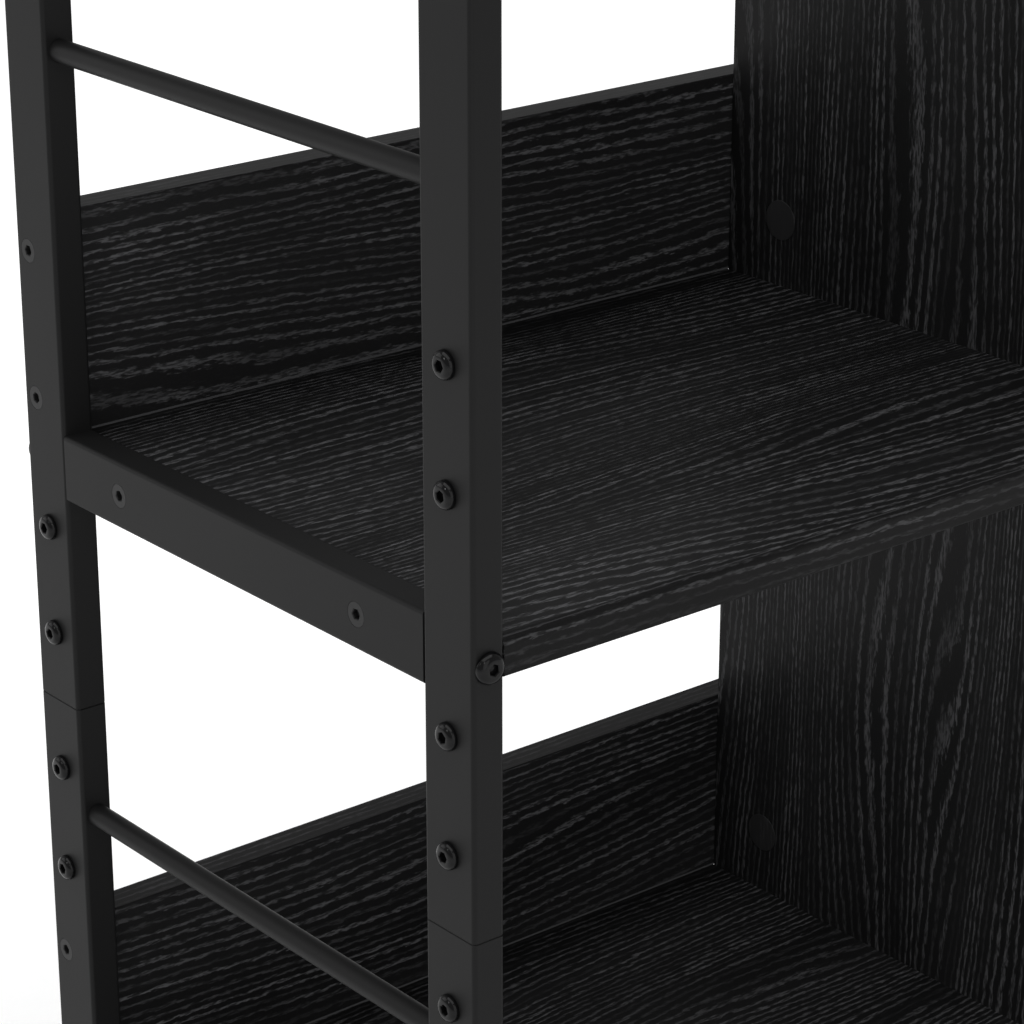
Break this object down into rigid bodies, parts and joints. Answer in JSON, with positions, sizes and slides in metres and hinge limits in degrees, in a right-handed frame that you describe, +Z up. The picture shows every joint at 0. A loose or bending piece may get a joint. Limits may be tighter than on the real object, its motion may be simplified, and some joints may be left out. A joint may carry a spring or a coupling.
{
  "type": "bookcase",
  "caption": "Two-bay bookcase with black steel side frames, side guard rods, low back strips, a full-height divider and adjustable shelves on pins.",
  "frame": {"origin": "on the floor, under the middle of the footprint", "axes": "+X is the width to the right seen from the front, +Y runs to the back, +Z is up"},
  "size_m": [0.823, 0.3172, 1.248],
  "materials": {
    "powder_coat": "matte black powder coat with a very fine texture",
    "black_oak": "black oak foil with open grain, satin",
    "black_bolt": "black oxide, glossy",
    "screw_steel": "dark nickel with a bright socket",
    "zinc_steel": "bright zinc plate",
    "black_plastic": "fine moulded texture",
    "cover_vinyl": "printed dark vinyl disc",
    "beech_dowel": "raw beech"
  },
  "bodies": {
    "frame": {"back_strip_bottom": "black_oak", "back_strip_lower": "black_oak", "back_strip_middle": "black_oak", "back_strip_top": "black_oak", "bracket_screws": "screw_steel", "cover_caps": "cover_vinyl", "divider": "black_oak", "divider_glides": "black_plastic", "divider_screws": "screw_steel", "foot_plugs": "black_plastic", "left_front_post_lower": "powder_coat", "left_front_post_upper": "powder_coat", "left_rail_bottom": "powder_coat", "left_rail_lower": "powder_coat", "left_rail_middle": "powder_coat", "left_rail_top": "powder_coat", "left_rear_post_lower": "powder_coat", "left_rear_post_upper": "powder_coat", "left_rod_bottom": "powder_coat", "left_rod_lower": "powder_coat", "left_rod_middle": "powder_coat", "left_rod_top": "powder_coat", "left_shelf_bottom": "black_oak", "left_shelf_lower": "black_oak", "left_shelf_middle": "black_oak", "post_bolts": "black_bolt", "post_caps": "black_plastic", "post_sleeves": "zinc_steel", "rail_bolts": "black_bolt", "rail_end_plates": "zinc_steel", "right_front_post_lower": "powder_coat", "right_front_post_upper": "powder_coat", "right_rail_bottom": "powder_coat", "right_rail_lower": "powder_coat", "right_rail_middle": "powder_coat", "right_rail_top": "powder_coat", "right_rear_post_lower": "powder_coat", "right_rear_post_upper": "powder_coat", "right_rod_bottom": "powder_coat", "right_rod_lower": "powder_coat", "right_rod_middle": "powder_coat", "right_rod_top": "powder_coat", "right_shelf_bottom": "black_oak", "right_shelf_lower": "black_oak", "right_shelf_middle": "black_oak", "shelf_pins": "zinc_steel", "shelf_screws": "screw_steel", "strip_back_screws": "screw_steel", "strip_screws": "screw_steel", "threaded_inserts": "zinc_steel", "top_dowels": "beech_dowel", "top_shelf": "black_oak", "wall_brackets": "powder_coat"},
    "adjustable_shelf_1": {"adjustable_shelf_1": "black_oak"},
    "adjustable_shelf_2": {"adjustable_shelf_2": "black_oak"},
    "adjustable_shelf_3": {"adjustable_shelf_3": "black_oak"},
    "foot_left_front": {"foot_left_front": "black_plastic"},
    "foot_left_rear": {"foot_left_rear": "black_plastic"},
    "foot_right_front": {"foot_right_front": "black_plastic"},
    "foot_right_rear": {"foot_right_rear": "black_plastic"}
  },
  "joints": [
    {"name": "adjustable_shelf_1_lift", "type": "slide", "parent": "frame", "child": "adjustable_shelf_1", "axis": [0, 0, 1], "range_m": [0, 0.14]},
    {"name": "adjustable_shelf_2_lift", "type": "slide", "parent": "frame", "child": "adjustable_shelf_2", "axis": [0, 0, 1], "range_m": [0, 0.14]},
    {"name": "adjustable_shelf_3_lift", "type": "slide", "parent": "frame", "child": "adjustable_shelf_3", "axis": [0, 0, 1], "range_m": [0, 0.13]},
    {"name": "foot_left_front_screw", "type": "slide", "parent": "frame", "child": "foot_left_front", "axis": [0, 0, -1], "range_m": [0, 0.01]},
    {"name": "foot_left_rear_screw", "type": "slide", "parent": "frame", "child": "foot_left_rear", "axis": [0, 0, -1], "range_m": [0, 0.01]},
    {"name": "foot_right_front_screw", "type": "slide", "parent": "frame", "child": "foot_right_front", "axis": [0, 0, -1], "range_m": [0, 0.01]},
    {"name": "foot_right_rear_screw", "type": "slide", "parent": "frame", "child": "foot_right_rear", "axis": [0, 0, -1], "range_m": [0, 0.01]}
  ]
}
